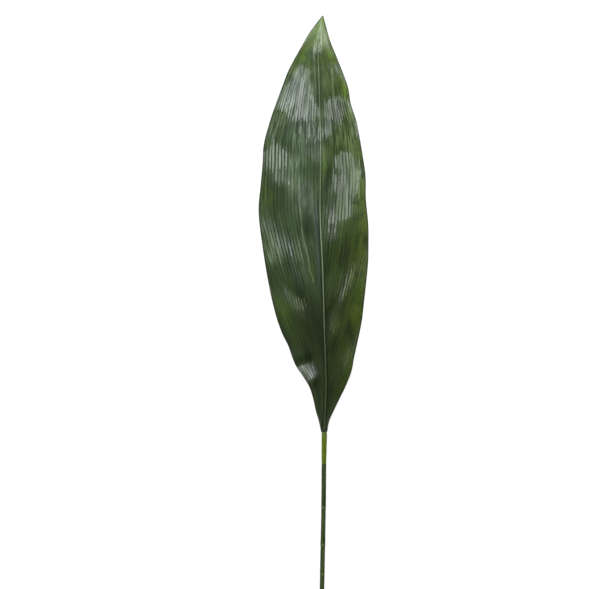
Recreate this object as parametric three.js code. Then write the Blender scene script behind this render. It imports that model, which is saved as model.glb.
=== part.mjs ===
// A single long aspidistra leaf on a straight wrapped stem, lying face up on a flat surface.
// The blade is one embossed sheet with a raised midrib, lengthwise ribs and waved margins.
// A coated wire runs the whole length of the stem and on up the back of the blade, in the
// channel under the midrib. Green tape is wound round its lower part, and a bright tapered
// sleeve covers the place where the tape ends and the blade begins.
//
// Millimetres. +Y points to the leaf's tip, +X to the right and +Z up, away from the surface.
// While modelling, y = 0 is the foot of the blade. At the end the whole group is moved, so
// that the origin is the middle of its footprint, on the surface that it lies on.

import * as THREE from 'three';

// Driving dimensions
const bladeLength = 450;
const stemLength = 250;
const sheetThickness = 0.8;
const footGap = 0.3;
const seatGap = 0.3;

const wireRadius = 1.5;
const wireTipRadius = 0.7;
const wireEndsAt = 0.92;

const tapeRadius = 2.45;
const sleeveLength = 34;
const sleeveTopRadius = 2.9;
const sleeveFootRadius = 2.5;

const ribHeight = 0.45;
const ribsPerHalf = 8;
const ridgeSteps = 3;
const bladeRows = 60;
const roundSides = 12;

// Shape tables. Each row is [share of the blade's length from foot to tip, millimetres].
// Left margin, measured from the straight line on which the stem starts
const leftMargin = [
  [0, -3.2], [0.025, -5.6], [0.05, -8.9], [0.085, -12.4], [0.109, -16.1], [0.133, -22.6],
  [0.157, -30.0], [0.181, -34.7], [0.205, -38.4], [0.24, -46.0], [0.29, -53.3], [0.36, -60.3],
  [0.45, -66.8], [0.53, -70.8], [0.59, -68.7], [0.64, -66.6], [0.69, -65.2], [0.746, -58.6],
  [0.79, -51.8], [0.83, -45.1], [0.87, -38.1], [0.94, -20.8], [0.962, -14.8], [1, -2.0],
];
const rightMargin = [
  [0, 3.5], [0.025, 5.5], [0.05, 10.4], [0.085, 18.0], [0.109, 23.3], [0.145, 29.6],
  [0.18, 32.7], [0.22, 36.7], [0.265, 40.8], [0.313, 43.4], [0.36, 45.7], [0.41, 47.8],
  [0.46, 48.2], [0.5, 47.9], [0.56, 45.3], [0.614, 45.0], [0.65, 42.9], [0.71, 38.3],
  [0.746, 35.1], [0.79, 28.9], [0.83, 25.7], [0.9, 13.8], [0.938, 6.8], [0.974, 2.3],
  [1, -0.8],
];
const midribLine = [
  [0, 0.3], [0.1, 2.1], [0.16, 1.6], [0.25, 0.3], [0.39, -1.5], [0.52, -4.2],
  [0.65, -3.7], [0.8, -4.8], [0.92, -6.4], [0.965, -4.0], [1, -1.4],
];
// Height of the sheet at the midrib, and the mean height of its margins
const midribHeight = [
  [0, 9.5], [0.12, 12.5], [0.3, 15.6], [0.45, 16.2], [0.62, 14.9], [0.72, 12.2], [0.88, 6.8],
  [1, 3.6],
];
const marginHeight = [
  [0, 9.2], [0.1, 8.6], [0.2, 5.2], [0.35, 2.0], [0.5, 1.5], [0.7, 1.4], [0.85, 2.4], [1, 3.4],
];
// How far the margins rise and fall about that mean. Where a wave would reach below the
// surface the sheet rests on it in a small flat spot.
const waveHeight = [
  [0, 0], [0.07, 0.3], [0.18, 1.1], [0.35, 1.2], [0.6, 1.5], [0.8, 1.1], [0.92, 0.5], [1, 0],
];
// Raised midrib: its height over the sheet
const ridgeHeight = [[0, 1.2], [0.3, 1.1], [0.7, 0.8], [0.92, 0.5], [1, 0.1]];

// Waves: where a slope that faces the tip lies, the length of one wave, and how much further
// up the blade the wave is met at the margin than at the midrib, all as shares of the length
const leftWave = { slopeAt: 0.149, length: 0.165, lean: 0.11 };
const rightWave = { slopeAt: 0.185, length: 0.19, lean: 0.11 };
const waveReach = 1.6;
const wingFall = 1.5;
const leanCentre = 0.7;

// Swells, each a crest that drops into a hollow towards the tip: [place along, place across
// with the left negative, reach along, reach across, height, lean up the blade towards the
// margin], shares of the length and of the half-width but for the height in millimetres
const swells = [
  [0.141, -0.80, 0.021, 0.46, 2.8, -0.03],
  [0.305, -0.55, 0.026, 0.20, 1.0, 0.10],
  [0.440, -0.62, 0.110, 0.44, 3.15, 0.10],
  [0.565, -0.34, 0.055, 0.24, 1.7, 0.00],
  [0.638, -0.76, 0.076, 0.32, 3.2, 0.02],
  [0.690, -0.24, 0.050, 0.26, 0.7, 0.00],
  [0.775, 0.02, 0.040, 0.13, -0.6, 0.00],
  [0.797, -0.49, 0.062, 0.38, 2.7, 0.00],
  [0.847, -0.04, 0.050, 0.32, -2.0, 0.00],
  [0.858, -1.08, 0.050, 0.24, -1.4, 0.00],
  [0.862, -0.70, 0.034, 0.16, 1.1, 0.00],
  [0.915, 0.00, 0.030, 1.20, -0.8, 0.00],
  [0.257, 0.20, 0.032, 0.16, 1.1, 0.10],
  [0.365, 0.53, 0.045, 0.22, 1.3, 0.10],
  [0.507, 0.19, 0.052, 0.20, 1.0, 0.00],
  [0.556, 0.48, 0.040, 0.28, 0.9, 0.00],
  [0.570, 0.50, 0.092, 0.40, 4.6, 0.10],
  [0.614, 1.02, 0.080, 0.20, -2.0, 0.10],
  [0.625, 0.54, 0.048, 0.40, 1.7, 0.00],
  [0.690, 0.30, 0.040, 0.30, 0.9, 0.00],
  [0.756, 0.40, 0.038, 0.32, 1.5, 0.04],
  [0.792, 1.00, 0.050, 0.34, -1.0, 0.00],
  [0.868, 0.50, 0.048, 0.42, -1.2, 0.00],
];

// The stem's centre line below the blade: [distance below the foot, sideways, height]
const stemPoints = [[0, 0.3], [34, -0.1], [80, -0.5], [134, -1.5], [170, -2.2], [250, -3.9]];
const stemHeights = [[0, 8.1], [60, 6.2], [140, 3.9], [200, 2.6], [225, tapeRadius], [250, tapeRadius]];

// A smooth curve through the rows of a table, as cubic pieces whose slope at each row is
// that of the line between its neighbours.
function smooth(table, at) {
  const last = table.length - 1;
  const x = Math.min(Math.max(at, table[0][0]), table[last][0]);
  let i = 0;
  while (i < last - 1 && x > table[i + 1][0]) i++;
  const slope = (k) => {
    const a = table[Math.max(k - 1, 0)];
    const b = table[Math.min(k + 1, last)];
    return (b[1] - a[1]) / (b[0] - a[0]);
  };
  const [x0, y0] = table[i];
  const [x1, y1] = table[i + 1];
  const span = x1 - x0;
  const u = (x - x0) / span;
  const u2 = u * u;
  const u3 = u2 * u;
  return (2 * u3 - 3 * u2 + 1) * y0 + (u3 - 2 * u2 + u) * span * slope(i)
    + (3 * u2 - 2 * u3) * y1 + (u3 - u2) * span * slope(i + 1);
}

// Radius of the wire behind the blade: it thins evenly towards its end.
function wireRadiusAt(t) {
  const share = Math.min(Math.max(t / wireEndsAt, 0), 1);
  return wireRadius + (wireTipRadius - wireRadius) * share;
}

// Half-width of the raised midrib: the wire, its gap and the sheet that wraps it.
function ridgeHalfWidth(t, halfWidth) {
  return Math.min(wireRadiusAt(t) + seatGap + sheetThickness, 0.8 * halfWidth);
}

// Height of the sheet's middle at a share t of the length and a share s of the half-width,
// with s negative on the left: a dome that falls from the midrib to the margins, waves that
// grow towards them, and the swells.
function sheetHeight(t, s) {
  const u = Math.abs(s);
  const wave = s < 0 ? leftWave : rightWave;
  const along = t - wave.lean * (u - leanCentre);
  const phase = (along - wave.slopeAt) / wave.length + 0.5;
  const dome = smooth(midribHeight, t)
    + (smooth(marginHeight, t) - smooth(midribHeight, t)) * u ** wingFall;
  const waved = dome + smooth(waveHeight, t) * u ** waveReach * Math.sin(2 * Math.PI * phase);
  return swells.reduce((height, [place, side, reach, width, rise, tilt]) => {
    const away = (t - place - tilt * (u - Math.abs(side))) / reach;
    const window = Math.exp(-(Math.abs((s - side) / width) ** 3));
    return height - rise * window * away * Math.exp(0.25 * (1 - away ** 4));
  }, waved);
}

// One row of the blade from margin to margin: the sheet's middle points at a share t.
function bladeRow(t) {
  const y = footGap + (bladeLength - footGap) * t;
  const middle = smooth(midribLine, t);
  const row = [];
  const side = (sign) => {
    const edge = smooth(sign < 0 ? leftMargin : rightMargin, t);
    const halfWidth = Math.abs(edge - middle);
    const ridge = ridgeHalfWidth(t, halfWidth);
    const fade = Math.min(1, (halfWidth - ridge) / 14);
    const points = [];
    for (let i = 1; i <= ridgeSteps; i++) {
      const share = i / ridgeSteps;
      const bump = smooth(ridgeHeight, t) * Math.cos(Math.PI / 2 * share) ** 2;
      const x = ridge * share;
      points.push([middle + sign * x, sheetHeight(t, sign * x / halfWidth) + bump]);
    }
    for (let i = 1; i <= 2 * ribsPerHalf; i++) {
      const share = i / (2 * ribsPerHalf);
      const x = ridge + (halfWidth - ridge) * share;
      const rib = (i % 2 ? 0.5 : -0.5) * ribHeight * fade;
      points.push([middle + sign * x, sheetHeight(t, sign * x / halfWidth) + rib]);
    }
    return points;
  };
  row.push(...side(-1).reverse());
  row.push([middle, sheetHeight(t, 0) + smooth(ridgeHeight, t)]);
  row.push(...side(1));
  return row.map(([x, z]) => {
    const underside = Math.max(z - sheetThickness / 2, 0);
    return { x, y, underside, top: underside + sheetThickness };
  });
}

// A closed thin sheet: rows of points with a top and an underside, joined all round the rim.
// Both faces are split along the same diagonal, so that they stay parallel.
function sheetGeometry(rows) {
  const across = rows[0].length;
  const positions = [];
  rows.forEach((row) => row.forEach((p) => positions.push(p.x, p.y, p.top)));
  rows.forEach((row) => row.forEach((p) => positions.push(p.x, p.y, p.underside)));
  const below = rows.length * across;
  const at = (r, c) => r * across + c;
  const faces = [];
  const quad = (a, b, c, d) => faces.push(a, b, c, a, c, d);
  for (let r = 0; r < rows.length - 1; r++) {
    for (let c = 0; c < across - 1; c++) {
      quad(at(r, c), at(r, c + 1), at(r + 1, c + 1), at(r + 1, c));
      faces.push(below + at(r, c), below + at(r + 1, c + 1), below + at(r, c + 1));
      faces.push(below + at(r, c), below + at(r + 1, c), below + at(r + 1, c + 1));
    }
    const end = across - 1;
    quad(at(r + 1, 0), below + at(r + 1, 0), below + at(r, 0), at(r, 0));
    quad(at(r, end), below + at(r, end), below + at(r + 1, end), at(r + 1, end));
  }
  const top = rows.length - 1;
  for (let c = 0; c < across - 1; c++) {
    quad(at(0, c), below + at(0, c), below + at(0, c + 1), at(0, c + 1));
    quad(at(top, c + 1), below + at(top, c + 1), below + at(top, c), at(top, c));
  }
  const geometry = new THREE.BufferGeometry();
  geometry.setAttribute('position', new THREE.Float32BufferAttribute(positions, 3));
  geometry.setIndex(faces);
  geometry.computeVertexNormals();
  return geometry;
}

// A closed round bar or tube through a list of stations { point, outer, inner }, where inner
// is left out for a bar. Its flat sides are turned so that one of them faces down.
function roundGeometry(stations, sides = roundSides) {
  const hollow = stations[0].inner !== undefined;
  const positions = [];
  const ring = (station, radius, tangent) => {
    const across = new THREE.Vector3(1, 0, 0).addScaledVector(tangent, -tangent.x).normalize();
    const up = new THREE.Vector3().crossVectors(across, tangent);
    const start = positions.length / 3;
    for (let i = 0; i < sides; i++) {
      const angle = 2 * Math.PI * (i + 0.5) / sides;
      const p = station.point.clone()
        .addScaledVector(up, radius * Math.cos(angle))
        .addScaledVector(across, radius * Math.sin(angle));
      positions.push(p.x, p.y, p.z);
    }
    return start;
  };
  const tangents = stations.map((_, i) => {
    const before = stations[Math.max(i - 1, 0)].point;
    const after = stations[Math.min(i + 1, stations.length - 1)].point;
    return new THREE.Vector3().subVectors(after, before).normalize();
  });
  // The flat sides of the polygon, not its corners, keep the stated radius.
  const toCorner = 1 / Math.cos(Math.PI / sides);
  const outer = stations.map((s, i) => ring(s, s.outer * toCorner, tangents[i]));
  const inner = hollow ? stations.map((s, i) => ring(s, s.inner * toCorner, tangents[i])) : [];
  const faces = [];
  const band = (a, b) => {
    for (let i = 0; i < sides; i++) {
      const j = (i + 1) % sides;
      faces.push(a + i, a + j, b + j, a + i, b + j, b + i);
    }
  };
  for (let i = 0; i < stations.length - 1; i++) {
    band(outer[i], outer[i + 1]);
    if (hollow) band(inner[i + 1], inner[i]);
  }
  const last = stations.length - 1;
  if (hollow) {
    band(inner[0], outer[0]);
    band(outer[last], inner[last]);
  } else {
    for (let i = 1; i < sides - 1; i++) {
      faces.push(outer[0], outer[0] + i + 1, outer[0] + i);
      faces.push(outer[last], outer[last] + i, outer[last] + i + 1);
    }
  }
  const geometry = new THREE.BufferGeometry();
  geometry.setAttribute('position', new THREE.Float32BufferAttribute(positions, 3));
  geometry.setIndex(faces);
  geometry.computeVertexNormals();
  return geometry;
}

// The wire's centre behind the blade: it hangs in the channel under the raised midrib.
function wirePointAt(t) {
  const y = footGap + (bladeLength - footGap) * t;
  const crest = sheetHeight(t, 0) + smooth(ridgeHeight, t);
  const z = crest - sheetThickness / 2 - seatGap - wireRadiusAt(t);
  return new THREE.Vector3(smooth(midribLine, t), y, z);
}

// The stem's centre at a distance below the blade's foot: it comes down to the surface and
// lies flat on it for its last stretch.
function stemPointAt(below) {
  const height = Math.max(smooth(stemHeights, below), tapeRadius);
  return new THREE.Vector3(smooth(stemPoints, below), -below, height);
}

function distancesBelow(from, to, steps) {
  return Array.from({ length: steps + 1 }, (_, i) => from + (to - from) * i / steps);
}

function makeBlade() {
  const rows = [];
  for (let r = 0; r <= bladeRows; r++) rows.push(bladeRow(r / bladeRows));
  return sheetGeometry(rows);
}

function makeWire() {
  const stations = distancesBelow(stemLength, 0, 20)
    .map((below) => ({ point: stemPointAt(below), outer: wireRadius }));
  for (let r = 1; r / bladeRows <= wireEndsAt + 1e-9; r++) {
    const t = r / bladeRows;
    stations.push({ point: wirePointAt(t), outer: wireRadiusAt(t) });
  }
  return roundGeometry(stations);
}

function makeTape() {
  const stations = distancesBelow(stemLength, sleeveLength + seatGap, 20)
    .map((below) => ({ point: stemPointAt(below), outer: tapeRadius, inner: wireRadius + seatGap }));
  return roundGeometry(stations);
}

function makeSleeve() {
  const stations = distancesBelow(sleeveLength, 0, 5).map((below) => {
    const share = below / sleeveLength;
    return {
      point: stemPointAt(below),
      outer: sleeveTopRadius + (sleeveFootRadius - sleeveTopRadius) * share,
      inner: wireRadius + seatGap,
    };
  });
  return roundGeometry(stations);
}

const bladeGreen = new THREE.MeshStandardMaterial({ color: 0x33482a, roughness: 0.35, metalness: 0 });
const wireGreen = new THREE.MeshStandardMaterial({ color: 0x3d5a2c, roughness: 0.5, metalness: 0 });
const tapeGreen = new THREE.MeshStandardMaterial({ color: 0x35502a, roughness: 0.75, metalness: 0 });
const sleeveGreen = new THREE.MeshStandardMaterial({ color: 0x5f7d1c, roughness: 0.5, metalness: 0 });

const leaf = new THREE.Group();
function add(name, geometry, material) {
  const mesh = new THREE.Mesh(geometry, material);
  mesh.name = name;
  leaf.add(mesh);
}

add('leaf_blade', makeBlade(), bladeGreen);
add('stem_wire', makeWire(), wireGreen);
add('stem_tape', makeTape(), tapeGreen);
add('sleeve', makeSleeve(), sleeveGreen);

// Middle of the footprint, on the surface
const bounds = new THREE.Box3().setFromObject(leaf);
const centre = bounds.getCenter(new THREE.Vector3());
leaf.position.set(-centre.x, -centre.y, -bounds.min.z);

export default leaf;
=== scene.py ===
# One long aspidistra leaf on a tape-wound stem, lying face up on a pale lit surface.
# Lengths in the dictionaries are millimetres, and the meshes are in metres.
import math
from functools import partial
from types import SimpleNamespace

import bpy
import numpy as np
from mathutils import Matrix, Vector


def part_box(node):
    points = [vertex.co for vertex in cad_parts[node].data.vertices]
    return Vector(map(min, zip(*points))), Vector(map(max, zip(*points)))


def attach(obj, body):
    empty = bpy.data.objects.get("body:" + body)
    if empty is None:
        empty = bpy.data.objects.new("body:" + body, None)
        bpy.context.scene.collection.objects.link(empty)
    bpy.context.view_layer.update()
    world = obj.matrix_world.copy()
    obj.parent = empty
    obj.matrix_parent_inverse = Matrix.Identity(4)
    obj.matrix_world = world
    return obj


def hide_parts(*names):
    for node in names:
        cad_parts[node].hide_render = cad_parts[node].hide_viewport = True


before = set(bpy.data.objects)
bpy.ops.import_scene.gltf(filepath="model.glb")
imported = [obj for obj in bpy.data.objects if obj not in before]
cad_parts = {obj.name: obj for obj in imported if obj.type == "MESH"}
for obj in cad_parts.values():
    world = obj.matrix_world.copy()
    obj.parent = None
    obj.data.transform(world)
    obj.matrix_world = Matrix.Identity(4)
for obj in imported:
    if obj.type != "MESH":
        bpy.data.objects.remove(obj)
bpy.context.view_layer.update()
scene = bpy.context.scene
mm = 0.001


# Tables and curves

def smooth(table, at):
    # Curve through the rows [place, value]: cubic pieces whose slope at a row is that of the
    # straight line between the two rows beside it.
    rows = np.asarray(table, float)
    x, y = rows[:, 0], rows[:, 1]
    last = len(x) - 1
    at = np.clip(np.asarray(at, float), x[0], x[last])
    i = np.clip(np.searchsorted(x, at, side="right") - 1, 0, last - 1)
    before = np.maximum(np.arange(last + 1) - 1, 0)
    after = np.minimum(np.arange(last + 1) + 1, last)
    slope = (y[after] - y[before]) / (x[after] - x[before])
    span = x[i + 1] - x[i]
    u = (at - x[i]) / span
    return ((2 * u**3 - 3 * u**2 + 1) * y[i] + (u**3 - 2 * u**2 + u) * span * slope[i]
            + (3 * u**2 - 2 * u**3) * y[i + 1] + (u**3 - u**2) * span * slope[i + 1])


def easeStep(low, high, at):
    # Rises from 0 at low to 1 at high as 3u^2 - 2u^3.
    u = np.clip((at - low) / (high - low), 0, 1)
    return u * u * (3 - 2 * u)


def addObject(name, data):
    new = bpy.data.objects.new(name, data)
    scene.collection.objects.link(new)
    return new


def meshFromArrays(name, vertices, quads, caps=()):
    # A smooth-shaded mesh object from an array of points in metres, one of four-cornered faces,
    # and flat end faces with any number of corners.
    mesh = bpy.data.meshes.new(name)
    corners = np.concatenate([quads.ravel(), *caps]).astype(np.int32)
    sizes = np.array([4] * len(quads) + [len(cap) for cap in caps])
    mesh.vertices.add(len(vertices))
    mesh.vertices.foreach_set("co", vertices.astype(np.float32).ravel())
    mesh.loops.add(len(corners))
    mesh.loops.foreach_set("vertex_index", corners)
    mesh.polygons.add(len(sizes))
    mesh.polygons.foreach_set("loop_start", (np.cumsum(sizes) - sizes).astype(np.int32))
    mesh.update(calc_edges=True)
    mesh.validate()
    mesh.polygons.foreach_set("use_smooth", np.arange(len(sizes)) < len(quads))
    return addObject(name, mesh)


def paintUv(mesh, name, perVertex):
    # One UV map from a pair of numbers for each vertex.
    layer = mesh.uv_layers.new(name=name)
    corner = np.empty(len(mesh.loops), np.int32)
    mesh.loops.foreach_get("vertex_index", corner)
    layer.data.foreach_set("uv", perVertex[corner].astype(np.float32).ravel())


def paintVector(mesh, name, perVertex):
    # One vector attribute from three numbers for each vertex.
    layer = mesh.attributes.new(name, "FLOAT_VECTOR", "POINT")
    layer.data.foreach_set("vector", perVertex.astype(np.float32).ravel())


# Node helpers

def newMaterial(name):
    material = bpy.data.materials.new(name)
    material.use_nodes = True
    tree = material.node_tree
    tree.nodes.clear()
    output = tree.nodes.new("ShaderNodeOutputMaterial")
    shader = tree.nodes.new("ShaderNodeBsdfPrincipled")
    tree.links.new(shader.outputs["BSDF"], output.inputs["Surface"])
    return material, tree, shader


def feed(tree, socket, value):
    # Links an output socket to an input, or sets the input to a plain number or colour.
    if isinstance(value, bpy.types.NodeSocket):
        tree.links.new(value, socket)
    elif value is not None:
        socket.default_value = value


def feedAll(tree, node, values):
    # Inputs of a node by their names or numbers
    for name, value in values.items():
        feed(tree, node.inputs[name], value)


def calc(tree, operation, first, second=None, third=None, clamp=False):
    node = tree.nodes.new("ShaderNodeMath")
    node.operation = operation
    node.use_clamp = clamp
    feedAll(tree, node, {0: first, 1: second, 2: third})
    return node.outputs[0]


def chain(operation):
    # A function that joins any number of values by one operation, from the first on
    def join(tree, first, *others):
        for other in others:
            first = calc(tree, operation, first, other)
        return first
    return join


times, plus, minus, highest = map(chain, ("MULTIPLY", "ADD", "SUBTRACT", "MAXIMUM"))


def ramp(tree, value, low, high, toLow=0.0, toHigh=1.0):
    # Smooth step from toLow at low to toHigh at high
    node = tree.nodes.new("ShaderNodeMapRange")
    node.interpolation_type = "SMOOTHSTEP"
    feedAll(tree, node, {"Value": value, "From Min": low, "From Max": high, "To Min": toLow,
                         "To Max": toHigh})
    return node.outputs["Result"]


def band(tree, value, low, full, fading, gone):
    # 1 between full and fading, 0 below low and above gone
    return times(tree, ramp(tree, value, low, full), ramp(tree, value, fading, gone, 1.0, 0.0))


def mixColour(tree, share, first, second, blend="MIX"):
    node = tree.nodes.new("ShaderNodeMix")
    node.data_type = "RGBA"
    node.blend_type = blend
    feedAll(tree, node, {0: share, 6: first, 7: second})
    return node.outputs[2]


def combine(tree, x, y, z=0.0):
    node = tree.nodes.new("ShaderNodeCombineXYZ")
    feedAll(tree, node, {0: x, 1: y, 2: z})
    return node.outputs[0]


def noise(tree, parts, detail=2.0, roughness=0.5):
    # Noise over three parts, each a fixed number or a measure and its waves in one unit
    place = [part if isinstance(part, float) else times(tree, *part) for part in parts]
    node = tree.nodes.new("ShaderNodeTexNoise")
    feedAll(tree, node, {"Vector": combine(tree, *place), "Scale": 1.0, "Detail": detail,
                         "Roughness": roughness})
    return node.outputs["Fac"]


def splitUp(tree, vector):
    node = tree.nodes.new("ShaderNodeSeparateXYZ")
    feed(tree, node.inputs[0], vector)
    return tuple(node.outputs)


def readParts(tree, name):
    # The three numbers of a vector attribute
    node = tree.nodes.new("ShaderNodeAttribute")
    node.attribute_type = "GEOMETRY"
    node.attribute_name = name
    return splitUp(tree, node.outputs["Vector"])


def readUv(tree, name):
    node = tree.nodes.new("ShaderNodeUVMap")
    node.uv_map = name
    return splitUp(tree, node.outputs["UV"])[:2]


def bumpFrom(tree, height, distance, before=None):
    node = tree.nodes.new("ShaderNodeBump")
    feedAll(tree, node, {"Strength": 1.0, "Distance": distance, "Height": height,
                         "Normal": before})
    return node.outputs["Normal"]


def leanNormal(tree, uvName, alongSlope):
    # The surface normal leaned by a slope along the second direction of a UV map
    node = tree.nodes.new("ShaderNodeNormalMap")
    node.space = "TANGENT"
    node.uv_map = uvName
    leaned = combine(tree, 0.5, calc(tree, "MULTIPLY_ADD", alongSlope, 0.5, 0.5), 1.0)
    feed(tree, node.inputs["Color"], leaned)
    return node.outputs["Normal"]


def green(red, greenPart, blue):
    # A colour given as it looks on screen, from 0 to 255, turned into the light it stands for
    def linear(value):
        share = value / 255
        return share / 12.92 if share <= 0.04045 else ((share + 0.055) / 1.055) ** 2.4
    return (linear(red), linear(greenPart), linear(blue), 1.0)


# Blade

bladeShape = {
    "length": 450.0,
    "footGap": 0.3,
    "solidThickness": 0.8,        # of the plain solid
    "sheetThickness": 0.5,        # of the sheet at the midrib
    "rimThickness": 0.26,
    "wireRadius": 1.5,
    "wireTipRadius": 0.7,
    "wireEndsAt": 0.92,
    "seatGap": 0.3,
    "solidRows": 61,              # rows of the plain solid
    "rows": 250,
    "ridgeColumns": 7,
    "leftColumns": 96,
    "rightColumns": 76,
    "leftMargin": [
        [0, -3.2], [0.025, -5.6], [0.05, -8.9], [0.085, -12.4], [0.109, -16.1], [0.133, -22.6],
        [0.157, -30.0], [0.181, -34.7], [0.205, -38.4], [0.24, -46.0], [0.29, -53.3],
        [0.36, -60.3], [0.45, -66.8], [0.53, -70.8], [0.59, -68.7], [0.64, -66.6],
        [0.69, -65.2], [0.746, -58.6], [0.79, -51.8], [0.83, -45.1], [0.87, -38.1],
        [0.94, -20.8], [0.962, -14.8], [1, -2.0],
    ],
    "rightMargin": [
        [0, 3.5], [0.025, 5.5], [0.05, 10.4], [0.085, 18.0], [0.109, 23.3], [0.145, 29.6],
        [0.18, 32.7], [0.22, 36.7], [0.265, 40.8], [0.313, 43.4], [0.36, 45.7], [0.41, 47.8],
        [0.46, 48.2], [0.5, 47.9], [0.56, 45.3], [0.614, 45.0], [0.65, 42.9], [0.71, 38.3],
        [0.746, 35.1], [0.79, 28.9], [0.83, 25.7], [0.9, 13.8], [0.938, 6.8], [0.974, 2.3],
        [1, -0.8],
    ],
    "midribLine": [
        [0, 0.3], [0.1, 2.1], [0.16, 1.6], [0.25, 0.3], [0.39, -1.5], [0.52, -4.2],
        [0.65, -3.7], [0.8, -4.8], [0.92, -6.4], [0.965, -4.0], [1, -1.4],
    ],
    "midribHeight": [[0, 9.5], [0.12, 12.5], [0.3, 15.6], [0.45, 16.2], [0.62, 14.9],
                     [0.72, 12.2], [0.88, 6.8], [1, 3.6]],
    "marginHeight": [[0, 9.2], [0.1, 8.6], [0.2, 5.2], [0.35, 2.0], [0.5, 1.5], [0.7, 1.4],
                     [0.85, 2.4], [1, 3.4]],
    "waveHeight": [[0, 0], [0.07, 0.3], [0.18, 1.1], [0.35, 1.2], [0.6, 1.5], [0.8, 1.1],
                   [0.92, 0.5], [1, 0]],
    "ridgeHeight": [[0, 1.2], [0.3, 1.1], [0.7, 0.8], [0.92, 0.5], [1, 0.1]],
    "leftWave": {"slopeAt": 0.149, "length": 0.165, "lean": 0.11},
    "rightWave": {"slopeAt": 0.185, "length": 0.19, "lean": 0.11},
    "waveReach": 1.6,
    "wingFall": 1.5,
    "leanCentre": 0.7,
    # Swells, each a crest that drops into a hollow towards the tip: place along and across,
    # reach along and across, height in millimetres, lean up the blade towards the margin
    "swells": [
        [0.141, -0.8, 0.021, 0.46, 2.8, -0.03], [0.305, -0.55, 0.026, 0.2, 1.0, 0.1],
        [0.44, -0.62, 0.11, 0.44, 3.15, 0.1], [0.565, -0.34, 0.055, 0.24, 1.7, 0.0],
        [0.638, -0.76, 0.076, 0.32, 3.2, 0.02], [0.69, -0.24, 0.05, 0.26, 0.7, 0.0],
        [0.775, 0.02, 0.04, 0.13, -0.6, 0.0], [0.797, -0.49, 0.062, 0.38, 2.7, 0.0],
        [0.847, -0.04, 0.05, 0.32, -2.0, 0.0], [0.858, -1.08, 0.05, 0.24, -1.4, 0.0],
        [0.862, -0.7, 0.034, 0.16, 1.1, 0.0], [0.915, 0.0, 0.03, 1.2, -0.8, 0.0],
        [0.257, 0.2, 0.032, 0.16, 1.1, 0.1], [0.365, 0.53, 0.045, 0.22, 1.3, 0.1],
        [0.507, 0.19, 0.052, 0.2, 1.0, 0.0], [0.556, 0.48, 0.04, 0.28, 0.9, 0.0],
        [0.57, 0.5, 0.092, 0.4, 4.6, 0.1], [0.614, 1.02, 0.08, 0.2, -2.0, 0.1],
        [0.625, 0.54, 0.048, 0.4, 1.7, 0.0], [0.69, 0.3, 0.04, 0.3, 0.9, 0.0],
        [0.756, 0.4, 0.038, 0.32, 1.5, 0.04], [0.792, 1.0, 0.05, 0.34, -1.0, 0.0],
        [0.868, 0.5, 0.048, 0.42, -1.2, 0.0],
    ],
    # Veins: how many run side by side on each half, and how they leave the midrib
    "leftVeins": 18,
    "rightVeins": 14.5,
    "leftFan": 1.0,
    "rightFan": 1.6,
    "fanEndsAt": 0.55,
    "fanSoftness": 0.05,
    "pleats": 8,                  # broad ribs on each half
    "pleatHeight": 0.04,
    "pleatRoom": 14.0,            # on a narrower half they grow lower
    "ridgeLimit": 0.8,            # share of the half width that the ridge takes at most
}


def sheetHeight(shape, t, s):
    # Height of the solid's middle surface: a dome that falls from midrib to margin as
    # |s|^wingFall, plus on each half a sine wave along the blade that grows as |s|^waveReach
    # and is met later towards the margin, plus the swells, each -x e^((1 - x^4) / 4) along the
    # blade and e^(-|x|^3) across it.
    u = np.abs(s)
    left, right = shape["leftWave"], shape["rightWave"]
    lean = np.where(s < 0, left["lean"], right["lean"])
    slopeAt = np.where(s < 0, left["slopeAt"], right["slopeAt"])
    length = np.where(s < 0, left["length"], right["length"])
    along = t - lean * (u - shape["leanCentre"])
    phase = (along - slopeAt) / length + 0.5
    top = smooth(shape["midribHeight"], t)
    dome = top + (smooth(shape["marginHeight"], t) - top) * u ** shape["wingFall"]
    wave = smooth(shape["waveHeight"], t) * u ** shape["waveReach"]
    height = dome + wave * np.sin(2 * np.pi * phase)
    for place, side, reach, width, rise, tilt in shape["swells"]:
        away = (t - place - tilt * (u - abs(side))) / reach
        window = np.exp(-np.abs((s - side) / width) ** 3)
        height = height - rise * window * away * np.exp(0.25 * (1 - away**4))
    return height


def wireRadiusAt(shape, t):
    # Thins evenly from the foot to where the wire ends.
    share = np.clip(t / shape["wireEndsAt"], 0, 1)
    return shape["wireRadius"] + (shape["wireTipRadius"] - shape["wireRadius"]) * share


def veinLabel(shape, t, s):
    # Which vein passes here, 0 at the midrib and 1 at the widest margin: |s| plus a soft ramp
    # that grows towards the foot, so that veins leave the midrib one after another.
    soft = shape["fanSoftness"]
    ramped = soft * np.logaddexp(0, (shape["fanEndsAt"] - t) / soft)
    return np.abs(s) + np.where(s < 0, shape["leftFan"], shape["rightFan"]) * ramped


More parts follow.
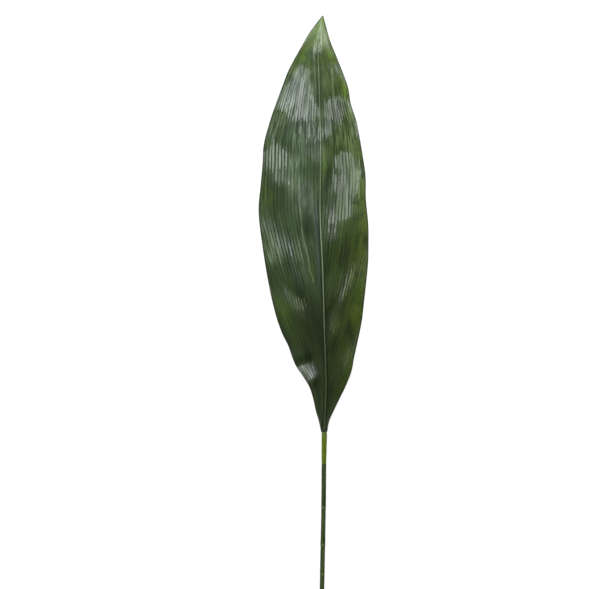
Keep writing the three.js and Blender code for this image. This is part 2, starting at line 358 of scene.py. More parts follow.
def bladeArrays(shape):
    # For each row t and column across: offset from the midrib, place s, height of the middle
    # surface with the cos^2 ridge over the midrib and the broad ribs, which fade at the rims.
    t = np.linspace(0, 1, shape["rows"])[:, None]
    middle = smooth(shape["midribLine"], t)
    halves = []
    for sign, margin, columns in ((-1, "leftMargin", shape["leftColumns"]),
                                  (1, "rightMargin", shape["rightColumns"])):
        halfWidth = np.abs(smooth(shape[margin], t) - middle)
        ridge = np.minimum(wireRadiusAt(shape, t) + shape["seatGap"] + shape["solidThickness"],
                           shape["ridgeLimit"] * halfWidth)
        ridgeShare = np.arange(1, shape["ridgeColumns"] + 1)[None] / shape["ridgeColumns"]
        wingShare = np.arange(1, columns + 1)[None] / columns
        ridgeX = ridge * ridgeShare
        wingX = ridge + (halfWidth - ridge) * wingShare
        x = np.hstack([ridgeX, wingX])
        s = sign * x / halfWidth
        bump = smooth(shape["ridgeHeight"], t) * np.cos(np.pi / 2 * ridgeShare) ** 2
        label = veinLabel(shape, t, s[:, shape["ridgeColumns"]:])
        fade = np.minimum(1, (halfWidth - ridge) / shape["pleatRoom"]) * easeStep(0, 0.12, wingShare)
        pleat = shape["pleatHeight"] * np.cos(2 * np.pi * shape["pleats"] * label)
        relief = np.hstack([bump, pleat * fade * easeStep(0, 0.05, 1 - wingShare)])
        height = sheetHeight(shape, t, s) + relief
        if sign < 0:
            x, s, height = -x[:, ::-1], s[:, ::-1], height[:, ::-1]
        halves.append((x, s, height))
    zero = np.zeros_like(t)
    crest = sheetHeight(shape, t, zero) + smooth(shape["ridgeHeight"], t)
    offset, s, height = (np.hstack(parts) for parts in zip(halves[0], (zero, zero, crest), halves[1]))
    return t + 0 * offset, s, offset, middle + offset, height


def makeBlade(shape):
    # One closed sheet: the underside follows the solid's, pressed flat where it meets the
    # surface, and the top lies one thickness above it, thinning to the rim as 1 - |s|^12.
    t, s, offset, x, height = bladeArrays(shape)
    y = shape["footGap"] + (shape["length"] - shape["footGap"]) * t
    underside = np.maximum(height - shape["solidThickness"] / 2, 0)
    thickness = (shape["rimThickness"]
                 + (shape["sheetThickness"] - shape["rimThickness"]) * (1 - np.abs(s) ** 12))
    cadRows = np.linspace(0, 1, shape["solidRows"])
    shiftX = cadBladeLow[0] / mm - smooth(shape["leftMargin"], cadRows).min()
    shiftY = cadBladeHigh[1] / mm - shape["length"]
    top = np.stack([x + shiftX, y + shiftY, underside + thickness], -1)
    below = np.stack([x + shiftX, y + shiftY, underside], -1)
    rows, columns = t.shape
    index = np.arange(rows * columns).reshape(rows, columns)
    back = index + rows * columns

    def quads(a, b, c, d):
        return np.stack([a.ravel(), b.ravel(), c.ravel(), d.ravel()], -1)

    faces = np.vstack([
        quads(index[:-1, :-1], index[:-1, 1:], index[1:, 1:], index[1:, :-1]),
        quads(back[:-1, :-1], back[1:, :-1], back[1:, 1:], back[:-1, 1:]),
        quads(index[1:, 0], back[1:, 0], back[:-1, 0], index[:-1, 0]),
        quads(index[:-1, -1], back[:-1, -1], back[1:, -1], index[1:, -1]),
        quads(index[0, :-1], back[0, :-1], back[0, 1:], index[0, 1:]),
        quads(index[-1, 1:], back[-1, 1:], back[-1, :-1], index[-1, :-1]),
    ])
    vertices = np.vstack([top.reshape(-1, 3), below.reshape(-1, 3)]) * mm
    piece = meshFromArrays("leafBlade", vertices, faces)
    veins = np.where(s < 0, -shape["leftVeins"], shape["rightVeins"]) * veinLabel(shape, t, s)
    flow = np.stack([veins, t * shape["length"] / 10], -1).reshape(-1, 2)
    paintUv(piece.data, "flow", np.vstack([flow, flow]))
    place = np.stack([s, t, offset], -1).reshape(-1, 3)
    paintVector(piece.data, "place", np.vstack([place, place]))
    side = np.zeros((2 * rows * columns, 3))
    side[rows * columns:, 0] = 1
    paintVector(piece.data, "side", side)
    return piece, (shiftX, shiftY)


bladeLook = {
    # Soft patches: share of the length, share of the half width, their reaches, the strength.
    # The pale patches are painted sheen, a haze of painted highlight; lean tips the surface up the
    # blade, rag tips single ribs, film keeps the clear film whole, dull thins it, fresh is yellower
    # and the shade patches are painted shade, darker.
    "paintedSheenPatches": [
        [0.715, -0.36, 0.034, 0.42, 0.65], [0.705, 0.46, 0.028, 0.42, 0.6],
        [0.665, 0.08, 0.045, 0.3, 0.45], [0.65, -0.42, 0.024, 0.3, 0.55],
        [0.435, -0.85, 0.05, 0.3, 0.65], [0.725, -0.9, 0.045, 0.25, 0.4],
        [0.845, 0.26, 0.045, 0.24, 0.4], [0.955, 0.55, 0.05, 0.45, 0.7], [0.7, 0.8, 0.05, 0.3, 0.45],
        [0.55, -0.28, 0.05, 0.3, 0.15], [0.68, -0.35, 0.03, 0.3, 0.35],
        [0.75, -0.7, 0.03, 0.35, 0.45], [0.778, -0.6, 0.03, 0.25, 0.3],
        [0.818, -0.2, 0.03, 0.15, 0.75], [0.6, -0.42, 0.045, 0.18, 0.4],
        [0.918, -0.22, 0.038, 0.18, 0.6], [0.414, -0.92, 0.026, 0.14, 0.55],
        [0.305, -0.85, 0.05, 0.24, 0.2], [0.64, -0.49, 0.03, 0.15, 0.5],
        [0.608, -0.68, 0.025, 0.2, 0.45], [0.728, 0.53, 0.032, 0.24, 0.4],
        [0.945, 0.45, 0.04, 0.45, 0.5],
    ],
    "leanPatches": [
        [0.715, -0.34, 0.035, 0.42, 0.045], [0.705, 0.5, 0.03, 0.4, 0.05],
        [0.675, 0.72, 0.022, 0.32, 0.045], [0.675, 0.1, 0.035, 0.3, 0.025],
        [0.785, 0.05, 0.028, 0.34, -0.11], [0.745, -0.2, 0.022, 0.26, -0.045],
        [0.8, -0.62, 0.035, 0.3, 0.03], [0.845, -0.95, 0.035, 0.32, -0.08],
        [0.945, -0.6, 0.045, 0.6, -0.06], [0.872, 0.35, 0.022, 0.45, -0.06],
        [0.53, 0.14, 0.06, 0.13, -0.045], [0.435, -0.8, 0.045, 0.32, 0.04],
        [0.57, -0.75, 0.045, 0.35, -0.035], [0.93, -0.05, 0.03, 0.3, -0.03],
        [0.3, -0.5, 0.04, 0.4, -0.025], [0.535, 0.35, 0.028, 0.25, -0.03],
        [0.602, -0.72, 0.014, 0.24, 0.03], [0.425, -0.72, 0.035, 0.42, 0.04],
    ],
    "ragPatches": [
        [0.715, -0.35, 0.06, 0.9, 1.3], [0.715, 0.45, 0.04, 0.7, 1.3],
        [0.65, -0.78, 0.06, 0.5, -0.6], [0.6, 0.55, 0.07, 0.5, -0.5],
        [0.148, -0.7, 0.045, 0.7, -0.85], [0.48, -0.72, 0.06, 0.5, -0.75],
        [0.858, -0.5, 0.035, 0.4, -0.6],
    ],
    "filmPatches": [
        [0.8, -0.55, 0.04, 0.42, 0.95], [0.855, -0.35, 0.03, 0.36, 0.9],
        [0.605, 0.6, 0.08, 0.5, 0.3],
    ],
    "dullPatches": [
        [0.64, -0.78, 0.06, 0.4, 0.38], [0.56, 0.3, 0.05, 0.3, 0.2], [0.61, 0.6, 0.06, 0.4, 0.22],
        [0.775, 0.0, 0.03, 0.35, 0.35], [0.594, -0.39, 0.025, 0.14, 0.8],
        [0.538, 0.3, 0.05, 0.24, 0.65], [0.312, -0.5, 0.038, 0.34, 0.65],
        [0.95, -0.45, 0.05, 0.7, 0.75], [0.43, -0.6, 0.05, 0.3, 0.2], [0.845, -0.88, 0.04, 0.3, 0.5],
        [0.81, -0.98, 0.05, 0.2, 0.5], [0.79, -0.28, 0.03, 0.22, 0.25],
        [0.65, -1.02, 0.07, 0.14, 0.8], [0.48, -0.66, 0.035, 0.25, 0.35],
        [0.772, -0.34, 0.04, 0.18, 0.25], [0.845, -0.3, 0.028, 0.15, 0.6],
        [0.778, 0.25, 0.022, 0.2, 0.35], [0.709, -0.08, 0.03, 0.16, 0.4],
    ],
    "freshPatches": [
        [0.908, 0.66, 0.022, 0.34, 0.7], [0.903, -0.78, 0.022, 0.34, 0.6],
        [0.82, 0.86, 0.035, 0.22, 0.5], [0.975, -0.7, 0.04, 0.6, 0.6], [0.655, 0.09, 0.06, 0.1, 0.4],
        [0.31, 0.86, 0.1, 0.3, 0.3], [0.29, -0.85, 0.06, 0.26, 0.35], [0.19, 0.6, 0.05, 0.4, 0.2],
        [0.565, -0.86, 0.04, 0.26, 0.24], [0.465, 0.82, 0.07, 0.3, 0.28],
    ],
    "shadePatches": [
        [0.27, -0.3, 0.1, 0.42, 0.45], [0.21, 0.35, 0.05, 0.35, 0.3],
        [0.565, -0.75, 0.06, 0.42, 0.45], [0.43, 0.75, 0.07, 0.45, 0.3],
        [0.95, -0.7, 0.04, 0.5, 0.25], [0.87, 0.12, 0.025, 0.3, 0.25], [0.33, 0.45, 0.05, 0.4, 0.25],
        [0.877, 0.42, 0.028, 0.32, 0.3], [0.24, 0.75, 0.045, 0.3, 0.35],
        [0.709, 0.97, 0.03, 0.15, 0.3], [0.58, -0.27, 0.032, 0.16, 0.25],
        [0.205, 0.45, 0.035, 0.3, 0.25],
    ],
    # Pale lines, partly pale veins and creases and partly short dashes of painted highlight: from one
    # share and offset to another, millimetres, half width, strength
    "paleVeinAndGlintLines": [
        [0.36, -10.5, 0.396, -14.5, 0.6, 0.55], [0.396, -14.5, 0.492, -20.5, 0.6, 0.55],
        [0.492, -20.5, 0.593, -24.3, 0.6, 0.3], [0.56, 41.8, 0.655, 41.5, 0.9, 0.5],
        [0.8, 15.2, 0.875, 14.6, 1.4, 0.3], [0.296, -31.0, 0.312, -32.4, 0.6, 0.35],
        [0.293, -27.9, 0.32, -29.9, 0.6, 0.5], [0.295, -25.2, 0.323, -27.2, 0.6, 0.55],
        [0.292, -21.9, 0.318, -23.9, 0.6, 0.5], [0.3, -19.4, 0.322, -21.0, 0.6, 0.35],
        [0.317, 20.9, 0.377, 26.1, 0.6, 0.4], [0.325, 24.2, 0.392, 31.2, 0.6, 0.4],
        [0.35, 28.6, 0.405, 35.0, 0.6, 0.3], [0.89, -4.3, 0.94, -4.0, 1.2, 0.4],
        [0.825, -4.3, 0.89, -4.3, 0.8, 0.3], [0.93, 2.2, 0.982, 0.6, 1.5, 0.5],
        [0.245, 6.5, 0.276, 13.0, 0.5, 0.22], [0.235, 9.2, 0.269, 14.6, 0.5, 0.28],
        [0.231, 12.4, 0.264, 16.2, 0.5, 0.25],
    ],
    "dark": green(36, 50, 29),
    "middle": green(60, 76, 46),
    "fresh": green(86, 102, 56),      # yellow-green at the margins and the tip
    "tip": green(150, 176, 88),
    "veinLight": green(108, 130, 92),
    "paintedSheen": green(118, 134, 106),    # painted sheen: a pale haze of painted highlight in soft patches
    # pale veins and creases, and short dashes of painted highlight
    "paleVeinAndGlintLine": green(136, 152, 126),
    "yellowish": green(98, 126, 42),
    "midrib": green(116, 130, 100),
    # painted shade: the dark of the grooves, the shade patches, the dark streaks and the lines beside
    # the ridge
    "groove": green(16, 26, 12),
    "flankReflection": green(54, 65, 62),        # painted reflection and shade: a bluish dark band on the midrib's left flank
    "rim": green(40, 42, 26),
    "back": green(92, 112, 74),
    "lowerShade": 0.48,               # painted shade: how dark the foot and the upper half are made
    "upperShade": 0.8,
    # Bands along the midrib, in millimetres from it: where each starts, is full, fades and ends. The
    # first three are painted reflection and painted shadow beside the ridge; the crest is partly
    # painted highlight
    "flankReflectionBand": (-8.0, -3.5, -2.6, -1.2),
    "leftRidgeShadow": (-4.0, -2.4, -1.6, -0.8),
    "rightRidgeShadow": (0.7, 1.3, 2.1, 3.2),
    "crestBand": (-0.95, -0.35, 0.25, 0.8),
    "ridgeEdge": (1.6, 3.2),          # where the ridge gives way to the ribs
    "rimWidth": 1.9,
    "fray": 0.05,                     # how far the patches' ends are frayed
    "lineFade": 0.004,
    "veinLine": 0.16,                 # strengths of the lines of the veins and of the painted shade in grooves and streaks
    "crestLine": 0.22,
    "grooveShade": 0.36,
    "streakShade": 0.5,
    "hairShade": 0.08,
    "grooveDepth": 0.00022,
    "raggedSlope": 0.2,               # how unevenly the ribs lean, which frays the light's edges
    "buckleDepth": 0.0004,
    "crinkleDepth": 0.00004,
    "bodyRoughness": 0.5,
    "bodySheen": 0.1,
    "filmWeight": 1.0,                # the clear film on the ribs, which carries the light
    "filmThin": 0.35,                 # share of it that is left in its thin streaks
    "filmRoughness": 0.11,
}


def patchSum(tree, share, across, rows):
    # Soft-edged ellipses on the blade: the sum of strength · (1 − d²)², where
    # d² = ((share − its share) / reach)² + ((across − its place) / width)² and is at most 1.
    total = 0.0
    for atShare, atAcross, reach, width, strength in rows:
        alongIt = calc(tree, "MULTIPLY_ADD", share, 1 / reach, -atShare / reach)
        acrossIt = calc(tree, "MULTIPLY_ADD", across, 1 / width, -atAcross / width)
        distance = calc(tree, "ADD", times(tree, alongIt, alongIt), times(tree, acrossIt, acrossIt),
                        clamp=True)
        inside = minus(tree, 1.0, distance)
        total = calc(tree, "MULTIPLY_ADD", times(tree, inside, inside), strength, total)
    return total


def lineSum(tree, share, offset, rows, fade):
    # Thin lines on the blade: strength where the offset is within the half width of a smooth
    # path between two shares of the length, fading out over its outer part and at both ends.
    total = 0.0
    for fromShare, fromOffset, toShare, toOffset, width, strength in rows:
        path = ramp(tree, share, fromShare, toShare, fromOffset, toOffset)
        aside = calc(tree, "ABSOLUTE", minus(tree, offset, path))
        ends = band(tree, share, fromShare - fade, fromShare + fade, toShare - fade, toShare + fade)
        mask = times(tree, ramp(tree, aside, width * 0.4, width, strength, 0.0), ends)
        total = plus(tree, mask, total)
    return total


def streaks(tree, at, perVein, perCentimetre, seed, detail=2.0, roughness=0.55):
    # Noise drawn out along the veins, with so many waves for one vein and for one centimetre
    return noise(tree, [(at.vein, perVein), (at.along, perCentimetre), seed], detail, roughness)


def bladeFields(tree, look):
    # What the parts of the blade's material read: the vein's number, centimetres along it, the
    # share of the half width and of the length, millimetres from the midrib, and the streaks
    at = SimpleNamespace()
    at.vein, at.along = readUv(tree, "flow")
    at.across, at.share, at.offset = readParts(tree, "place")
    at.backSide, _, _ = readParts(tree, "side")
    at.outward = calc(tree, "ABSOLUTE", at.across)
    at.half = calc(tree, "ABSOLUTE", at.offset)
    at.offRidge = ramp(tree, at.half, *look["ridgeEdge"])
    at.byShare = partial(ramp, tree, at.share)
    at.byAcross = partial(ramp, tree, at.across)
    at.streak = streaks(tree, at, 0.9, 0.07, 3.0)
    at.fine = streaks(tree, at, 2.7, 0.22, 7.0, 3.0, 0.65)
    # The share of the length, moved a little by the streaks, so that a patch's ends are frayed
    fray = look["fray"]
    at.frayed = calc(tree, "MULTIPLY_ADD", at.streak, fray, minus(tree, at.share, fray / 2))
    at.filmPatch = patchSum(tree, at.frayed, at.across, look["filmPatches"])
    return at


def addGrooves(tree, at):
    # Grooves between the ribs, where |sin| of the wandering vein number is low. Their strength
    # is uneven, except in three areas where the photograph shows them side by side.
    wander = calc(tree, "MULTIPLY_ADD", at.streak, 0.55, at.vein)
    at.rib = calc(tree, "ABSOLUTE", calc(tree, "SINE", times(tree, wander, math.pi)))
    right = times(tree, at.byAcross(0.0, 0.1), band(tree, at.share, 0.38, 0.42, 0.66, 0.68),
                  at.byShare(0.52, 0.6, 1.0, 0.6))
    upperLeft = times(tree, at.byAcross(-0.35, -0.5), band(tree, at.share, 0.57, 0.6, 0.68, 0.7))
    lowerLeft = times(tree, at.byAcross(-0.15, -0.3), band(tree, at.share, 0.37, 0.4, 0.48, 0.52))
    evenRibs = highest(tree, right, upperLeft, lowerLeft)
    uneven = ramp(tree, streaks(tree, at, 0.7, 0.3, 19.0), 0.36, 0.58, 0.15, 1.0)
    strength = highest(tree, uneven, times(tree, evenRibs, 0.95))
    deeper = times(tree, at.byShare(0.72, 0.85, 1.0, 0.4), at.byShare(0.1, 0.3, 0.4, 1.0),
                   at.byAcross(-0.75, 0.1, 1.25, 1.05))
    # The larger this number, the narrower the grooves
    evenNarrow = minus(tree, at.byAcross(-0.1, 0.1, 0.9, 1.3), 1.5)
    narrower = times(tree, calc(tree, "MULTIPLY_ADD", evenRibs, evenNarrow, 1.5),
                     at.byShare(0.35, 0.5, 0.6, 1.0))
    at.groove = times(tree, ramp(tree, times(tree, at.rib, narrower), 0.1, 0.75, 1.0, 0.0),
                      strength, deeper, at.offRidge)
    hair = streaks(tree, at, 2.6, 0.35, 13.0, 2.0, 0.6)
    at.hairGroove = times(tree, ramp(tree, hair, 0.34, 0.5, 1.0, 0.0), at.offRidge)
    # Dark waved streaks in the upper part, weaker where the film is whole
    wave = noise(tree, [(at.along, 0.9), (at.offset, 0.08), 57.0], 1.0)
    waved = calc(tree, "MULTIPLY_ADD", wave, 1.4, at.vein)
    dark = noise(tree, [(waved, 1.25), (at.along, 0.32), 53.0])
    at.darkStreak = times(tree, ramp(tree, dark, 0.55, 0.64), at.byShare(0.66, 0.71),
                          at.byShare(0.86, 0.9, 1.0, 0.3), at.offRidge,
                          calc(tree, "MULTIPLY_ADD", at.filmPatch, -0.5, 1.0))


def bladeColour(tree, at, look):
    # Dark green with lengthwise streaks, fresher green towards the margins and the tip, patches of
    # painted sheen and of painted shade, painted shade in the grooves and towards the foot, a light
    # midrib, partly painted highlight, between lines of painted shadow, a dark rim and a pale back.
    def patches(name):
        return patchSum(tree, at.frayed, at.across, look[name])

    broad = streaks(tree, at, 0.16, 0.14, 0.0, 3.0)
    mottle = noise(tree, [(at.offset, 0.05), (at.along, 0.4), 11.0], 4.0, 0.6)
    tone = plus(tree, times(tree, broad, 0.95), times(tree, at.streak, 0.25))
    upper = highest(tree, at.byShare(0.2, 0.75, 0.4, 1.0), at.byAcross(0.1, 0.5))
    lowRight = times(tree, at.byShare(0.15, 0.25), at.byShare(0.38, 0.5, 0.15, 0.0),
                     at.byAcross(0.15, 0.35))
    freshShare = times(tree, ramp(tree, plus(tree, at.outward, lowRight), 0.55, 0.95),
                       ramp(tree, mottle, 0.4, 0.6, 0.15, 1.0), upper,
                       at.byAcross(-0.2, 0.6, 0.45, 1.0), at.byShare(0.35, 0.6, 0.6, 1.0))
    nearTip = times(tree, at.byShare(0.8, 0.93), ramp(tree, mottle, 0.36, 0.6))
    tipStreak = times(tree, at.byShare(0.9, 0.985), at.byAcross(-0.6, 0.2, 0.35, 1.0),
                      ramp(tree, streaks(tree, at, 1.6, 0.25, 31.0, 3.0), 0.46, 0.6))
    veinShare = times(tree, ramp(tree, at.fine, 0.52, 0.72), look["veinLine"], at.offRidge, upper)
    crestLine = times(tree, ramp(tree, at.rib, 0.6, 0.97), at.offRidge, upper, look["crestLine"],
                      ramp(tree, streaks(tree, at, 0.8, 0.16, 37.0), 0.42, 0.62),
                      at.byShare(0.2, 0.65, 0.1, 1.0))
    # Painted sheen: a pale haze of painted highlight in soft patches
    paintedSheen = times(tree, patches("paintedSheenPatches"),
                  ramp(tree, streaks(tree, at, 1.7, 0.3, 47.0, 3.0), 0.4, 0.58, 0.15, 1.0))
    freshSpots = times(tree, patches("freshPatches"),
                       ramp(tree, streaks(tree, at, 1.4, 0.5, 61.0), 0.38, 0.58, 0.3, 1.0))
    # Painted shade in the grooves between the ribs
    grooveShade = times(tree, at.groove, at.byShare(0.3, 0.65, 0.3, 1.0), look["grooveShade"])
    colour = mixColour(tree, ramp(tree, tone, 0.45, 0.78), look["dark"], look["middle"])
    # Painted sheen, painted shade in patches, streaks and grooves, and painted highlight dashes among
    # the pale lines are mixed in here with the real colours
    for amount, paint in (
            (freshShare, "fresh"), (nearTip, "fresh"), (tipStreak, "tip"), (veinShare, "veinLight"),
            (crestLine, "veinLight"), (paintedSheen, "paintedSheen"), (patches("shadePatches"), "groove"),
            (freshSpots, "yellowish"), (times(tree, at.darkStreak, look["streakShade"]), "groove"),
            (lineSum(tree, at.share, at.offset, look["paleVeinAndGlintLines"], look["lineFade"]), "paleVeinAndGlintLine"),
            (grooveShade, "groove"), (times(tree, at.hairGroove, look["hairShade"]), "groove")):
        colour = mixColour(tree, amount, colour, look[paint])

    # Painted shade, darker towards the foot, and with less blue on the right and low on the blade
    shade = at.byShare(0.15, 0.62, look["lowerShade"], look["upperShade"])
    blueShade = times(tree, shade, at.byAcross(-0.3, 0.4, 1.0, 0.68),
                      at.byShare(0.3, 0.55, 0.75, 1.0))
    colour = mixColour(tree, 1.0, colour, combine(tree, shade, shade, blueShade), "MULTIPLY")

    # Painted reflection: a bluish dark band on the midrib's left flank. Painted shadow: dark lines on
    # both sides of the ridge. The pale crest is partly the midrib's own colour and partly painted
    # highlight.
    flankReflectionBand = times(tree, band(tree, at.offset, *look["flankReflectionBand"]),
                     band(tree, at.share, 0.3, 0.42, 0.52, 0.58), 0.6)
    leftRidgeShadowLine = times(tree, band(tree, at.offset, *look["leftRidgeShadow"]),
                       at.byShare(0.5, 0.62, 0.6, 0.3), at.byShare(0.86, 0.9, 1.0, 0.0))
    rightRidgeShadowLine = times(tree, band(tree, at.offset, *look["rightRidgeShadow"]),
                        at.byShare(0.4, 0.55, 0.6, 0.1))
    crest = times(tree, band(tree, at.offset, *look["crestBand"]), at.byShare(0.1, 0.5, 0.15, 0.8),
                  at.byShare(0.45, 0.6, 1.0, 0.55), at.byShare(0.9, 0.95, 1.0, 0.2))
    toRim = minus(tree, calc(tree, "DIVIDE", at.half, at.outward), at.half)
    rim = ramp(tree, toRim, 0.5, look["rimWidth"], 0.8, 0.0)
    for amount, paint in ((flankReflectionBand, "flankReflection"), (leftRidgeShadowLine, "groove"), (rightRidgeShadowLine, "groove"),
                          (crest, "midrib"), (rim, "rim")):
        colour = mixColour(tree, amount, colour, look[paint])
    backStreak = ramp(tree, at.streak, 0.3, 0.7, 0.0, 0.45)
    return mixColour(tree, at.backSide, colour,
                     mixColour(tree, backStreak, look["back"], look["middle"]))


def bladeFilm(tree, at, look):
    # Weight of the clear film: (1 − bare) · glassy · (1 − dull), less on the back. It is bare
    # in the grooves and dark streaks, and glassy between thin streaks and in its own patches.
    thick = streaks(tree, at, 1.1, 0.3, 43.0, 2.0, 0.5)
    glassy = highest(tree, ramp(tree, thick, 0.38, 0.6, look["filmThin"], 1.0), at.filmPatch)
    bare = highest(tree, at.groove, times(tree, at.darkStreak, 0.85), times(tree, at.hairGroove, 0.3))
    dull = patchSum(tree, at.frayed, at.across, look["dullPatches"])
    return times(tree, minus(tree, 1.0, bare), glassy, minus(tree, 1.0, dull),
                 look["filmWeight"], calc(tree, "MULTIPLY_ADD", at.backSide, -0.7, 1.0))


def bladeNormal(tree, at, look):
    # Leans of single ribs and of soft patches along the blade, then crinkles, buckles and the
    # grooves between the ribs
    longRag = minus(tree, streaks(tree, at, 1.0, 0.2, 23.0, 1.0, 0.4), 0.5)
    shortRag = minus(tree, streaks(tree, at, 1.2, 0.8, 29.0, 1.0, 0.5), 0.5)
    moreRags = plus(tree, patchSum(tree, at.share, at.across, look["ragPatches"]), 1.0)
    ragged = times(tree, calc(tree, "MULTIPLY_ADD", shortRag, 0.6, longRag), look["raggedSlope"],
                   at.byShare(0.3, 0.46, 0.8, 1.0), at.offRidge, moreRags)
    lean = plus(tree, ragged, patchSum(tree, at.frayed, at.across, look["leanPatches"]))
    crinkle = noise(tree, [(at.offset, 0.4), (at.along, 1.2), 5.0], 3.0, 0.6)
    buckle = streaks(tree, at, 0.3, 0.32, 41.0, 2.0, 0.5)
    ribHeight = minus(tree, 1.0, highest(tree, at.groove, times(tree, at.hairGroove, 0.1)))
    normal = bumpFrom(tree, crinkle, look["crinkleDepth"], leanNormal(tree, "flow", lean))
    normal = bumpFrom(tree, buckle, look["buckleDepth"], normal)
    return bumpFrom(tree, ribHeight, look["grooveDepth"], normal)


def bladeMaterial(look):
    # A matt body under a clear film, which carries the light and is bare in the grooves
    material, tree, shader = newMaterial("coatedLeaf")
    at = bladeFields(tree, look)
    addGrooves(tree, at)
    normal = bladeNormal(tree, at, look)
    rough = look["bodyRoughness"]
    feedAll(tree, shader, {
        "Base Color": bladeColour(tree, at, look),
        "Roughness": ramp(tree, at.fine, 0.3, 0.7, rough + 0.08, rough - 0.05),
        "Specular IOR Level": look["bodySheen"],
        "Coat Weight": bladeFilm(tree, at, look),
        "Coat Roughness": look["filmRoughness"],
        "Normal": normal,
        "Coat Normal": normal,
    })
    return material


def present(piece, material, node):
    # Dresses a piece, hangs it on the root body and hides the solid that it stands for
    piece.data.materials.append(material)
    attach(piece, "root")
    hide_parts(node)
    print(piece.name + ":", len(piece.data.polygons), "faces")


cadBladeLow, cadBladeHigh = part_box("leaf_blade")
blade, shift = makeBlade(bladeShape)
present(blade, bladeMaterial(bladeLook), "leaf_blade")


# Stem

stemShape = {
    "length": 250.0,
    "centreLine": [[0, 0.3], [34, -0.1], [80, -0.5], [134, -1.5], [170, -2.2], [250, -3.9]],
    "height": [[0, 8.1], [60, 6.2], [140, 3.9], [200, 2.6], [225, 2.45], [250, 2.45]],
    "around": 96,
    "boreRadius": 1.8,
    "boreRows": 60,
    "tapeRadius": 2.5,
    "tapeRows": 900,
    "tapeTurn": 11.0,             # length along the stem of one turn of the tape
    "tapeStep": 0.05,             # how far each turn stands over the one before
    "tapeSwell": [[34, 0.06], [60, 0], [78, 0.02], [84, -0.06], [112, 0], [118, 0.16], [124, -0.03],
                  [150, 0.02], [157, -0.04], [190, 0.02], [250, 0]],
    # Joints of the tape: distance below the blade, half length, height of the bead
    "tapeRings": [[81.2, 0.9, 0.16], [122.0, 1.1, 0.18], [153.4, 0.9, 0.16], [190.5, 1.0, 0.15],
                  [226.0, 1.0, 0.15]],
    "sleeveLength": 34.0,
    "sleeveRows": 150,
    "sleeveTopRadius": 3.02,
    "sleeveFootRadius": 2.6,
    "sleeveRipple": 0.035,
    "tapeGap": 0.3,               # between the sleeve and the tape
    "lowestCentre": 2.45,         # a little under the tape's radius, for its flat underside
    "lip": 0.25,
    "wireAround": 32,
    "wireRows": (250, 350),       # along the stem, behind the blade
    "wireStartsAt": 0.006,        # share of the blade
    "wireLip": 0.3,
}


def stemPoints(shape, below):
    # Centre of the stem at distances below the blade's foot, millimetres
    below = np.asarray(below, float)
    z = np.maximum(smooth(shape["height"], below), shape["lowestCentre"])
    return np.stack([smooth(shape["centreLine"], below), -below, z], -1)


def wirePoints(shape, t):
    # Centre of the wire behind the blade, in the channel under the midrib's ridge
    y = shape["footGap"] + (shape["length"] - shape["footGap"]) * t
    crest = sheetHeight(shape, t, np.zeros_like(t)) + smooth(shape["ridgeHeight"], t)
    z = crest - shape["solidThickness"] / 2 - shape["seatGap"] - wireRadiusAt(shape, t)
    return np.stack([smooth(shape["midribLine"], t), y, z], -1)


def anglesRound(around):
    # Even steps round the stem
    return 2 * np.pi * np.arange(around) / around


def ringsAlong(centres, radius, around):
    # Rings of points square to a line of centres, each at its own radius at every angle. No
    # point lies below the surface.
    tangent = np.gradient(centres, axis=0)
    tangent /= np.linalg.norm(tangent, axis=1, keepdims=True)
    across = np.array([1.0, 0, 0]) - tangent * tangent[:, :1]
    across /= np.linalg.norm(across, axis=1, keepdims=True)
    up = np.cross(across, tangent)
    angle = anglesRound(around)
    spoke = across[:, None] * np.cos(angle)[:, None] + up[:, None] * np.sin(angle)[:, None]
    points = centres[:, None] + spoke * radius[..., None]
    points[..., 2] = np.maximum(points[..., 2], 0)
    return points


def roundPiece(name, outer, inner=None):
    # A closed bar, or a tube whose outer rings run on into its inner ones, from rings of points.
    # Each ring is joined to the next and to its own start, and a bar's ends are flat faces.
    rings = outer if inner is None else np.concatenate([outer, inner[::-1], outer[:1]])
    count, around = rings.shape[:2]
    index = np.arange(count * around).reshape(count, around)
    caps = ()
    if inner is None:
        caps = (index[0], index[-1, ::-1])
        points = rings
    else:
        index[-1] = index[0]
        points = rings[:-1]
    index = np.hstack([index, index[:, :1]])
    quads = np.stack([index[:-1, :-1], index[1:, :-1], index[1:, 1:], index[:-1, 1:]], -1)
    vertices = (points + [shift[0], shift[1], 0]).reshape(-1, 3) * mm
    return meshFromArrays(name, vertices, quads.reshape(-1, 4), caps)


def paintWrap(piece, around, along):
    # Attribute "wrap": cosine and sine of the angle round the stem, and centimetres along it
    angle = anglesRound(around)
    same = np.zeros((len(along), around))
    wrap = np.stack([np.cos(angle) + same, np.sin(angle) + same, along[:, None] / 10 + same], -1)
    paintVector(piece.data, "wrap", wrap.reshape(-1, 3))


def roundedEnds(below, top, foot, lip):
    # How much a tube's radius drops near its two ends, as a quarter circle of radius lip
    toEnd = np.minimum(np.abs(below - top), np.abs(below - foot))
    inside = np.clip(1 - toEnd / lip, 0, 1)
    return lip * (1 - np.sqrt(np.clip(1 - inside**2, 0, 1)))


def makeTube(name, shape, below, radius):
    # A closed tube from its outer radii and an even bore, which needs only a few rings
    bore = np.linspace(below[0], below[-1], shape["boreRows"])
    boreRadius = np.full((len(bore), shape["around"]), shape["boreRadius"])
    outer = ringsAlong(stemPoints(shape, below), radius, shape["around"])
    inner = ringsAlong(stemPoints(shape, bore), boreRadius, shape["around"])
    piece = roundPiece(name, outer, inner)
    paintWrap(piece, shape["around"], np.concatenate([below, bore[::-1]]))
    return piece


